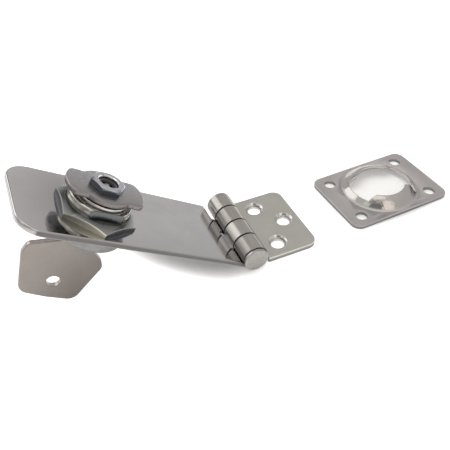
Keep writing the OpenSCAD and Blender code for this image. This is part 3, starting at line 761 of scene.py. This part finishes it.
# Painted shade: the top face is darker towards its -y side and lighter towards +y.
face = blanked.blend(blanked.axis("Y").above(-7.0, 4.0), (0.34, 0.322, 0.312), (0.51, 0.505, 0.52))
face = blanked.blend(skin.above(0.35, 0.7) * 0.6, face, (0.31, 0.305, 0.305))
edge = blanked.blend(shear.above(0.3, 0.7), (0.34, 0.31, 0.30), (0.24, 0.22, 0.215))
edge = blanked.blend(under, edge, (0.29, 0.30, 0.325))
blanked.put_on(
    [cam],
    blanked.blend(side, face, edge),
    0.24 + 0.12 * skin + 0.06 * side,
    shear * side + skin * 0.5, 0.008)

# Cam nut
# The small hexagon nut that clamps the cam on the hollow post. Only its upper corners are
# turned off, and its plating is the brightest on the lock, with a painted highlight round the edge
# of its bore and painted shade on its flanks.

CAM_NUT_FLATS, CAM_NUT_BORE, CAM_NUT_HIGH = 9.0, 2.85, CAM_HIGH + 2.0
cam_nut = hex_nut("cam_nut", plug_place @ Matrix.Rotation(math.pi / 6, 4, "Z"), "plug_side",
                  CAM_NUT_FLATS, CAM_HIGH, CAM_NUT_HIGH, CAM_NUT_BORE, sink=0.4, face=CAM_NUT_FLATS / 2 - 0.2)
plated = Finish("plated_cam_nut", plug_place)
bloom = plated.noise(0.9)
# Painted highlight round the bore's edge, and painted shade on the flanks below the top.
bore_edge_highlight = 1.0 - plated.reach().above(3.2, 3.35)
flank_shade = 1.0 - plated.axis("Z").above(CAM_NUT_HIGH - 0.45, CAM_NUT_HIGH - 0.25)
plating = plated.blend(bloom.above(0.4, 0.7), (0.60, 0.60, 0.635), (0.50, 0.50, 0.535))
plating = plated.blend(bore_edge_highlight, plating, (0.85, 0.85, 0.87))
plated.put_on(
    [cam_nut],
    plated.blend(flank_shade, plating, (0.17, 0.178, 0.20)),
    0.12 + 0.10 * bloom,
    bloom, 0.002)

# Key
# The flat key, blanked from 2 mm brass and nickel plated. Its bow's faces are milled in fine
# diagonal lines, the brownish plating is mottled with dirt and painted darker across the key as
# shade, its rim carries a painted highlight, and the bitting is cut along one blade edge.

KEY_FACE = 1.0  # half the blank's thickness
BLADE = 3.9  # half the blade's width
SHOULDER = -7.45  # where the bow stops the blade
TIP, TIP_START = 1.9, 4.2  # half the width of the blade's tip, and where it begins
RING_X, RING_Y, RING_HOLE = -2.5, -27.6, 2.1  # the ring hole's place and radius


def cut(y, depth):
    """Corners of one cut in the blade's edge: a floor 0.8 mm long at that depth, whose sides open
    by a quarter of the depth."""
    return [(BLADE, y - 0.45 - depth / 4, 0.05), (BLADE - depth, y - 0.4, 0.1),
            (BLADE - depth, y + 0.4, 0.1), (BLADE, y + 0.45 + depth / 4, 0.05)]


bow = [(-5.3, SHOULDER, 0.6), (-5.3, -11.7, 0.8), (-14.2, -15.5, 2), (-15.0, -19.0, 3),
       (-11.25, -33.7, 3.6), (-2.5, -34.2, 16), (6.25, -33.7, 3.6), (10.0, -19.0, 3),
       (8.6, -16.4, 1.8), (5.3, -13.9, 0.8), (5.3, SHOULDER, 0.6), (BLADE, SHOULDER, 0)]
bitting = [corner for y, depth in [(-4.8, 0.9), (-3.05, 1.5), (-1.3, 0.6), (0.45, 1.2), (2.2, 0.9)]
           for corner in cut(y, depth)]
tip = [(BLADE, TIP_START, 0.2), (TIP, TIP_START, 0), (TIP, 8.0, 0.3), (0.5, 9.2, 0.2), (-0.5, 9.2, 0.2),
       (-TIP, 8.0, 0.3), (-TIP, TIP_START, 0), (-BLADE, TIP_START, 0.2), (-BLADE, SHOULDER, 0)]
key_place = plug_place @ ALONG_PIN
key = piece("key", [wall(rounded(bow + bitting + tip, 6), edge_section(-KEY_FACE, KEY_FACE, 0.3)),
                    wall(circle(RING_X, RING_Y, RING_HOLE), edge_section(-KEY_FACE, KEY_FACE, 0.2))],
            key_place, "key_side", ["key"], covers=(-KEY_FACE, KEY_FACE))
nickel = Finish("nickel_key_dirt_and_shade", key_place)
across, along = nickel.axis("X"), nickel.axis("Y")
waver = nickel.noise(0.25, 2.0)
soil = nickel.noise(0.16, 4.0, 0.6)
diagonal = (across * 0.72 + along * 0.69) * 13.0 + waver * 5.0
on_face = (nickel.axis("Z") ** 2.0).above(0.62, 0.82)
lines = diagonal.maths("SINE", diagonal) * on_face
# Dirt mottles the plating, and painted shade darkens it towards +x and towards the bow's end.
soil_and_shade = (across * 0.030 - along * 0.012 + soil * 0.9).above(0.25, 1.25)
plating = nickel.blend(soil_and_shade, (0.42, 0.382, 0.355), (0.315, 0.285, 0.266))
# The milled lines are darker in their grooves.
groove = nickel.blend(0.55, plating, (0.28, 0.25, 0.235))
# Painted highlight: off the faces, the rim is pale.
crest_and_lit_rim = nickel.blend(on_face, (0.72, 0.68, 0.65), plating)
nickel.put_on(
    [key],
    nickel.blend(lines.above(-0.9, 1.0), groove, crest_and_lit_rim),
    0.26 + 0.12 * soil,
    lines * 0.6 + soil, 0.02)

# Keeper
# The separate plate that the cam drops into and turns under. It is 1.5 mm stainless sheet
# whose middle is drawn up into a dome, bright from the die, and pierced by a round opening
# with a notch to each side. Four plain holes take its screws.

KEEPER_X, KEEPER_Y = 48.7, 0.8
KEEPER_LENGTH, KEEPER_WIDTH, KEEPER_SHEET = 41.8, 29.9, 1.5
KEEPER_SCREWS_X, KEEPER_SCREWS_Y, KEEPER_HOLE = 15.4, 10.1, 2.15  # its holes' places and radius
DOME_FOOT, DOME_RISE = 14.3, 3.5
DOME_WAVE, DOME_SKEW = math.radians(158), 1.4
DOME_GAP = 0.004  # between the dome's foot and its seat in the sheet
LIP, LIP_ARRIS = 8.8, 0.2
NOTCH_SIDE, NOTCH_END = 6.2, 11.6
keeper_place = (Matrix.Scale(MM, 4) @ Matrix.Translation((KEEPER_X, KEEPER_Y, 0))
                @ Matrix.Rotation(math.radians(2.3), 4, "Z"))


def opening(turn):
    """Reach of the dome's opening at each turn: the round's radius, or in the two notches, whose
    sides run straight along the middle line, what the cam's wings need."""
    return np.maximum(LIP, np.minimum(NOTCH_END, flat_reach(turn, NOTCH_SIDE)))


def dome_height(reach, low):
    """Height of the dome's wall at a reach from its middle: a little less than half a wave, from the
    foot at the sheet in to the still sloping lip. The reach goes with the wave's angle to the power
    of the skew."""
    share = np.clip((DOME_FOOT - reach) / (DOME_FOOT - LIP), 0, 1) ** (1 / DOME_SKEW)
    return low + DOME_RISE * (1 - np.cos(DOME_WAVE * share)) / (1 - math.cos(DOME_WAVE))


def dome_wall(rows=30, columns=720):
    """The drawn dome at each turn: up its inside from the foot to the opening, over the lip's small
    arris, down its outside, and straight down through the sheet."""
    turn = np.linspace(0, 2 * np.pi, columns, endpoint=False)
    mouth = opening(turn)
    share = 1 - (1 - np.linspace(0, 1, rows)[:, None]) ** DOME_SKEW
    ease = np.radians(np.linspace(90, 0, 6))[:-1, None]
    foot = DOME_FOOT - DOME_GAP
    inner = (mouth + (foot - mouth) * share)[::-1]
    outer = mouth + LIP_ARRIS + (foot - mouth - LIP_ARRIS) * share
    lip_reach = mouth + LIP_ARRIS * (1 - np.sin(ease))
    lip_height = dome_height(mouth + LIP_ARRIS, KEEPER_SHEET) - LIP_ARRIS * (1 - np.cos(ease))
    level = np.ones_like(outer[-1:])
    reach = np.concatenate([inner, lip_reach, outer, foot * level, foot * level])
    height = np.concatenate([dome_height(inner, 0.0), lip_height, dome_height(outer, KEEPER_SHEET),
                             (KEEPER_SHEET - 0.02) * level, 0.02 * level])
    return np.stack([reach * np.cos(turn), reach * np.sin(turn), height], -1)


dome = piece("keeper_dome", [dome_wall()], keeper_place, "base", [], close_rows=True)
keeper_outline = rounded([(x * KEEPER_LENGTH / 2, y * KEEPER_WIDTH / 2, 3.4)
                          for x, y in ((-1, -1), (1, -1), (1, 1), (-1, 1))])
keeper_walls = [wall(keeper_outline, edge_section(0.0, KEEPER_SHEET, 0.25))]
keeper_walls += [wall(circle(x, y, KEEPER_HOLE), edge_section(0.0, KEEPER_SHEET, 0.12))
                 for x in (-KEEPER_SCREWS_X, KEEPER_SCREWS_X) for y in (-KEEPER_SCREWS_Y, KEEPER_SCREWS_Y)]
keeper_walls.append(wall(circle(0, 0, DOME_FOOT, 180), np.array([[0.0, 0.0], [0.0, KEEPER_SHEET]])))
keeper = piece("keeper_plate", keeper_walls, keeper_place, "base", ["keeper"],
               covers=(0.0, KEEPER_SHEET))
drawn_sheet = Finish("satin_keeper", keeper_place)
grain = drawn_sheet.noise(4.5, 4.0, 0.65)
cloud = drawn_sheet.noise(0.12, 2.0)
drawn = drawn_sheet.noise(0.5, 2.0)
reach = drawn_sheet.reach()
satin_share = reach.above(DOME_FOOT - 1.3, DOME_FOOT + 0.3)
# Painted light: the sheet is lighter and rougher in a ring round the dome's foot, which lifts the shade
# there.
painted_light_ring = 1.0 - reach.above(DOME_FOOT + 0.7, DOME_FOOT + 4.2)
cut_edge = ((1.0 - drawn_sheet.axis("Z").above(KEEPER_SHEET - 0.35, KEEPER_SHEET - 0.2))
            * reach.above(DOME_FOOT + 0.02, DOME_FOOT + 0.1))
sheet_tone = drawn_sheet.blend(cloud.above(0.3, 0.7), (0.525, 0.49, 0.488), (0.585, 0.55, 0.548))
sheet_tone = drawn_sheet.blend(painted_light_ring * 0.7, sheet_tone, (0.68, 0.655, 0.645))
sheet_tone = drawn_sheet.blend(cut_edge, sheet_tone, (0.26, 0.255, 0.265))
drawn_sheet.put_on(
    [dome, keeper],
    drawn_sheet.blend(satin_share, (0.56, 0.532, 0.508), sheet_tone),
    0.08 + satin_share * (0.22 + 0.10 * grain + 0.25 * painted_light_ring),
    grain * satin_share * 0.05 + drawn * (1.0 - satin_share), 0.09)

# Floor
# A plain white table. A glow by the kind of ray is added to its own colour: polished metal sees an
# even one, and the camera sees a brighter one, which is held back in two fixed ovals, by the hinge
# and round the keeper, so that the shadow shows there as it does with the strap as photographed.

floor = bpy.data.objects.new("floor", bpy.data.meshes.new("floor"))
floor.data.from_pydata([(-3, -3, 0), (3, -3, 0), (3, 3, 0), (-3, 3, 0)], [], [(0, 1, 2, 3)])
bpy.context.scene.collection.objects.link(floor)
table = bpy.data.materials.new("white_table")
table.use_nodes = True
table.node_tree.nodes.remove(table.node_tree.nodes["Principled BSDF"])
white = Shading(table.node_tree)


def ray(shading, kind):
    """1 on rays of that kind, as Light Path tells them apart, and 0 on the rest."""
    return shading.node("ShaderNodeLightPath", {}, {}, f"Is {kind} Ray")


def away_from(x, y, reach_x, reach_y, slant=0.0):
    """Ramp on the table from 0 inside an oval round a place to 1 outside it, in millimetres. slant
    is how much the oval's long axis falls to the side along its way."""
    along = white.axis("X") * (1 / MM) - x
    aside = white.axis("Y") * (1 / MM) - y + along * slant
    return (((along * (1 / reach_x)) ** 2.0 + (aside * (1 / reach_y)) ** 2.0) ** 0.5).above(0.75, 1.36)


by_hinge = away_from(-31, 10, 19, 15.6, 0.83) ** 2.4
by_keeper = 0.28 + 0.72 * away_from(KEEPER_X, KEEPER_Y, 25, 20)
seen_glow = ray(white, "Camera") * (by_hinge * by_keeper) * 0.8
mirrored_glow = (ray(white, "Glossy") + ray(white, "Transmission")) * 0.25
paper = white.node("ShaderNodeBsdfDiffuse", {}, {"Color": (0.80, 0.80, 0.79)})
glow = white.node("ShaderNodeEmission", {}, {"Color": seen_glow + mirrored_glow})
surface = white.node("ShaderNodeAddShader", {}, {0: paper, 1: glow})
white.feed(table.node_tree.nodes["Material Output"].inputs["Surface"], surface)
floor.data.materials.append(table)

# Room and light
# The studio round the table: a pale grey that brightens upwards, with the broad darker and
# brighter fields that the polished faces show. Soft boxes behind the latch and over it light it.

room = bpy.data.worlds.new("studio")
bpy.context.scene.world = room
room.use_nodes = True
studio = Shading(room.node_tree, "Generated")
way_x, way_y, way_z = (studio.axis(name) for name in "XYZ")
bearing = way_y.maths("ARCTAN2", way_y, way_x) * (180 / math.pi)
elevation = way_z.maths("ARCSINE", way_z) * (180 / math.pi)
sky = studio.node("ShaderNodeValToRGB", {"stops": [
    (0.0, (0.50, 0.49, 0.48)), (0.48, (0.56, 0.55, 0.55)), (0.56, (0.60, 0.587, 0.59)),
    (0.80, (0.62, 0.61, 0.59)), (1.0, (0.72, 0.72, 0.71))]}, {0: way_z * 0.5 + 0.5})


def field(turn_from, turn_to, low, high, soft):
    """Share of a soft-edged field of the room, between two bearings and two elevations in degrees:
    the product of the four ramps at its edges."""
    return (bearing.above(turn_from - soft, turn_from + soft)
            * (1.0 - bearing.above(turn_to - soft, turn_to + soft))
            * elevation.above(low - soft, low + soft)
            * (1.0 - elevation.above(high - soft, high + soft)))


for colour, *edges in [
        ((1.25, 1.22, 1.17), -190, 190, 74, 100, 3),
        ((0.26, 0.26, 0.27), -158, -97, 36, 66, 4),
        ((1.25, 1.15, 1.06), -97, -62, 34, 66, 5),
        ((0.85, 0.87, 0.80), -178, -158, 42, 64, 7),
        ((0.13, 0.135, 0.14), -20, 18, -10, 10, 5),
        ((0.27, 0.28, 0.30), 76, 102, 20, 41, 4),
        ((0.33, 0.315, 0.30), 118, 175, -35, 12, 6)]:
    sky = studio.blend(field(*edges), sky, colour)

# The camera sees plain white past the table, and the polished faces still see the grey room.
seen = ray(studio, "Camera")
backdrop = seen.maths("ADD", seen, ray(studio, "Transmission"), clamp=True)
studio.feed(room.node_tree.nodes["Background"].inputs["Color"], studio.blend(backdrop, sky, (1, 1, 1)))


def panel(name, direction, distance, width, height, level, shown):
    """A soft box that faces the latch from that direction. level is its brightness, and a lamp of
    that brightness takes pi times its area in watts."""
    lamp = bpy.data.lights.new(name, "AREA")
    lamp.shape, lamp.size, lamp.size_y = "RECTANGLE", width, height
    lamp.energy = level * math.pi * width * height
    made = bpy.data.objects.new(name, lamp)
    way = Vector(direction).normalized()
    made.location = Vector((-0.01, 0, 0)) + way * distance
    made.rotation_euler = way.to_track_quat("Z", "Y").to_euler()
    made.visible_glossy = shown
    bpy.context.scene.collection.objects.link(made)


panel("back_left_panel", (-0.494, 0.675, 0.548), 0.7, 0.42, 0.42, level=0.95, shown=True)
panel("overhead_panel", (-0.2, 0.35, 1.0), 0.8, 0.5, 0.5, level=2.5, shown=False)

# Camera
# The pinhole camera that was fitted to points picked in the photograph. It stands away from the
# place that it looks at, and rolls a little about its own line of sight.

SENSOR, PHOTO_WIDTH, FOCAL_PIXELS = 36.0, 450, 541.825
LOOKED_AT = Vector((-12.24, 7.815, 0))
CAMERA_DISTANCE = 194.948
turn, rise, roll = (math.radians(angle) for angle in (-22.394, 43.134, -1.818))
away = Vector((math.sin(turn) * math.cos(rise), -math.cos(turn) * math.cos(rise), math.sin(rise)))
level_right = Vector((math.cos(turn), math.sin(turn), 0))
level_up = away.cross(level_right)
right = math.cos(roll) * level_right + math.sin(roll) * level_up
up = away.cross(right)

camera = bpy.data.objects.new("camera", bpy.data.cameras.new("camera"))
camera.data.sensor_width, camera.data.sensor_fit = SENSOR, "HORIZONTAL"
camera.data.lens = FOCAL_PIXELS / PHOTO_WIDTH * SENSOR
camera.data.clip_start, camera.data.clip_end = 0.01, 20.0
camera.matrix_world = (Matrix.Translation(LOOKED_AT * MM + away * CAMERA_DISTANCE * MM)
                       @ Matrix((right, up, away)).transposed().to_4x4())
bpy.context.scene.collection.objects.link(camera)
bpy.context.scene.camera = camera
bpy.context.scene.view_settings.view_transform = "Standard"
